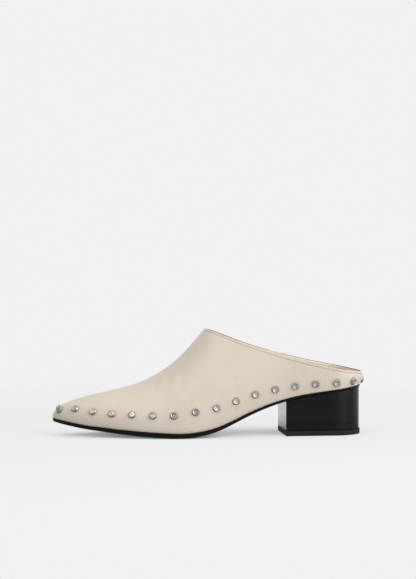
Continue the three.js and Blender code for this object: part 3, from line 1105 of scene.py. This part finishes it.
rubber, tree, shader, place = start_material("lift_rubber", 0.6, Specular_IOR_Level=0.12)
speckle = noise(tree, place, 2200.0, 3)
tint = use_group(tree, patches, place, Patches_per_metre=90.0,
                 Light=(0.023, 0.0215, 0.0195, 1), Deep=(0.016, 0.0148, 0.0135, 1))
feed(tree, shader.inputs["Base Color"], tint["Color"])
feed(tree, shader.inputs["Roughness"], between(tree, speckle, 0.3, 0.7, 0.5, 0.7))
feed(tree, shader.inputs["Normal"], bump(tree, speckle, RUBBER_GRAIN))
print("materials:", sole_black.name, heel_black.name, rubber.name)

# %% [markdown]
# Each piece now gets its material, stands in for its solid where it has one, and is tied to the
# shoe's one body. The stitches, the holes, the tab and the sock are finishes of their own.

# %% Give each piece its finish and its place
FACING_FORWARD = -0.9


def dress(piece, materials, slot, *nodes):
    faces_material = [face.material_index for face in piece.data.polygons]
    piece.data.materials.clear()
    for material in materials:
        piece.data.materials.append(material)
    if len(materials) == 1:
        faces_material = [0] * len(faces_material)
    piece.data.polygons.foreach_set("material_index", faces_material)
    if nodes:
        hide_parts(*nodes)
    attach(piece, "root")


dress(upper, [cream, lining, raw], "upper_leather", "upper")
dress(tab, [tab_leather], "lining_leather")
for name, row in rows.items():
    dress(row, [hole_shade if name.endswith("holes") else thread], "thread")
dress(insole, [lining], "insole_leather", "insole")
dress(sock, [sock_leather], "insole_leather")
dress(outsole, [sole_black], "sole_leather", "outsole")
for face in heel.data.polygons:
    face.material_index = int(face.normal.x < FACING_FORWARD)
dress(heel, [heel_black, breast_black], "stacked_heel", "heel")
dress(lift, [rubber], "lift_rubber", "top_lift")
for node, cap in studs.items():
    dress(cap, [steel], "stud_steel", node)

# %% [markdown]
# The shoe stands on a pale seamless floor under soft, even light. The floor fades out a short
# way off, so that no horizon shows behind the shoe. Part of the floor's brightness is its own
# light, which grows dark where the shoe closes the floor in: quickly close to the sole, and
# gently under the arch. Both parts of this painted shadow are measured on the side of the lamps,
# so the shadow falls behind. What the shoe mirrors of the floor, and the light it gets from it,
# is the floor's own glow too: painted light, dimmer in front than at the back.

# %% Floor
BACKDROP = (0.879, 0.879, 0.879, 1)
FLOOR_RADIUS = 1.6
FLOOR_DROP = 0.1 * MM
FADE = (0.18, 0.7)
CONTACT_REACH = 12 * MM
ARCH_REACH = 60 * MM
ARCH_DARKEST = 0.67
OWN_LIGHT = 0.60
MIRRORED_DEPTH = 0.2
MIRRORED_LIGHT = (0.12, 0.62)
TOWARDS_LAMPS = (0.0, -0.82, 0.57)

bpy.ops.object.select_all(action="DESELECT")
bpy.ops.mesh.primitive_circle_add(
    vertices=96, radius=FLOOR_RADIUS, fill_type="NGON", location=(0, 0, -FLOOR_DROP)
)
floor = bpy.context.object
floor.name = "floor"
bpy.ops.object.transform_apply(location=True, rotation=True, scale=True)
pale, tree, shader, place = start_material("pale_floor", 0.9, Specular_IOR_Level=0.0)
shader.inputs["Base Color"].default_value = (0.24, 0.24, 0.24, 1)
shader.inputs["Emission Color"].default_value = (1, 1, 1, 1)
lamps = add_node(tree, "ShaderNodeCombineXYZ")
for axis, part in enumerate(TOWARDS_LAMPS):
    lamps.inputs[axis].default_value = part


def openness(reach, low, high, darkest):
    node = add_node(tree, "ShaderNodeAmbientOcclusion", samples=12)
    node.inputs["Distance"].default_value = reach
    feed(tree, node.inputs["Normal"], lamps.outputs[0])
    return between(tree, node.outputs["AO"], low, high, darkest, 1.0)


# Painted shadow: the floor's own light darkens where the shoe closes it in.
contact = openness(CONTACT_REACH, 0.0, 0.7, 0.0)
under_arch = openness(ARCH_REACH, 0.22, 0.69, ARCH_DARKEST)
own_light = math_node(
    tree, "MULTIPLY", math_node(tree, "MULTIPLY", contact, under_arch), OWN_LIGHT
)
sides = add_node(tree, "ShaderNodeSeparateXYZ")
feed(tree, sides.inputs[0], place)
# Painted light: the floor's glow for all rays but the camera's, dimmer in front than behind.
floor_glow_for_shoe = between(tree, sides.outputs["Y"], 0.0, MIRRORED_DEPTH, *MIRRORED_LIGHT)
ray = add_node(tree, "ShaderNodeLightPath")
feed(tree, shader.inputs["Emission Strength"],
     between(tree, ray.outputs["Is Camera Ray"], 0.0, 1.0, floor_glow_for_shoe, own_light, smooth=False))
length = add_node(tree, "ShaderNodeVectorMath", operation="LENGTH")
feed(tree, length.inputs[0], place)
clear = add_node(tree, "ShaderNodeBsdfTransparent")
fade = add_node(tree, "ShaderNodeMixShader")
feed(tree, fade.inputs[0], between(tree, length.outputs["Value"], *FADE))
feed(tree, fade.inputs[1], shader.outputs[0])
feed(tree, fade.inputs[2], clear.outputs[0])
feed(tree, tree.nodes["Material Output"].inputs["Surface"], fade.outputs[0])
floor.data.materials.append(pale)
print("stage:", floor.name)

# %% [markdown]
# A polished stud only looks like steel, and a black heel only looks black, if something dark
# stands opposite. So the studio is bright all round but for two dark patches: a broad one in
# front and a little above, as black cloth round a camera gives, and a small one high up beyond
# the toe. The camera itself sees the plain backdrop.

# %% World
STUDIO_LIGHT = 0.82
PATCH_LIGHT = 0.10
# Each patch is its direction, and the cosines at its outer edge and where it is fully dark.
DARK_PATCHES = (
    ((0.035, -0.905, 0.423), 0.86, 0.985),
    ((-0.70, 0.42, 0.57), 0.95, 0.99),
)

world = bpy.data.worlds.new("studio")
bpy.context.scene.world = world
world.use_nodes = True
tree = world.node_tree
tree.nodes.clear()
direction = add_node(tree, "ShaderNodeTexCoord").outputs["Generated"]
darkness = 0.0
for towards, edge_of_patch, full in DARK_PATCHES:
    facing = add_node(tree, "ShaderNodeVectorMath", operation="DOT_PRODUCT")
    feed(tree, facing.inputs[0], direction)
    feed(tree, facing.inputs[1], towards)
    patch = between(tree, facing.outputs["Value"], edge_of_patch, full)
    darkness = math_node(tree, "MAXIMUM", patch, darkness)
lit = add_node(tree, "ShaderNodeBackground")
feed(tree, lit.inputs["Color"], (1, 1, 1, 1))
feed(tree, lit.inputs["Strength"],
     between(tree, darkness, 0.0, 1.0, STUDIO_LIGHT, PATCH_LIGHT, smooth=False))
seen = add_node(tree, "ShaderNodeBackground")
feed(tree, seen.inputs["Color"], BACKDROP)
ray = add_node(tree, "ShaderNodeLightPath")
choose = add_node(tree, "ShaderNodeMixShader")
feed(tree, choose.inputs[0], ray.outputs["Is Camera Ray"])
feed(tree, choose.inputs[1], lit.outputs[0])
feed(tree, choose.inputs[2], seen.outputs[0])
output = add_node(tree, "ShaderNodeOutputWorld")
feed(tree, output.inputs["Surface"], choose.outputs[0])
bpy.context.scene.view_settings.view_transform = "Standard"
print("world:", world.name)

# %% [markdown]
# The even studio alone would leave the shoe flat. A broad disk to the right of the camera rounds
# its form and lights the back of the heel, a small one to the left opens up the toe, and a weak
# one stands overhead.

# %% Lights
LIT_POINT = (0.03, 0, 0.04)


def soft_light(name, place, target, size, power):
    bpy.ops.object.light_add(type="AREA", location=place)
    light = bpy.context.object
    light.name = name
    light.data.shape = "DISK"
    light.data.size = size
    light.data.energy = power
    light.rotation_euler = (Vector(target) - Vector(place)).to_track_quat("-Z", "Y").to_euler()


soft_light("overhead", (0.1, -0.35, 1.5), (0, 0, 0.03), 0.9, 2.0)
soft_light("right", (1.35, -1.2, 0.85), LIT_POINT, 2.0, 26.0)
soft_light("left", (-0.75, -1.15, 1.2), LIT_POINT, 0.7, 2.6)
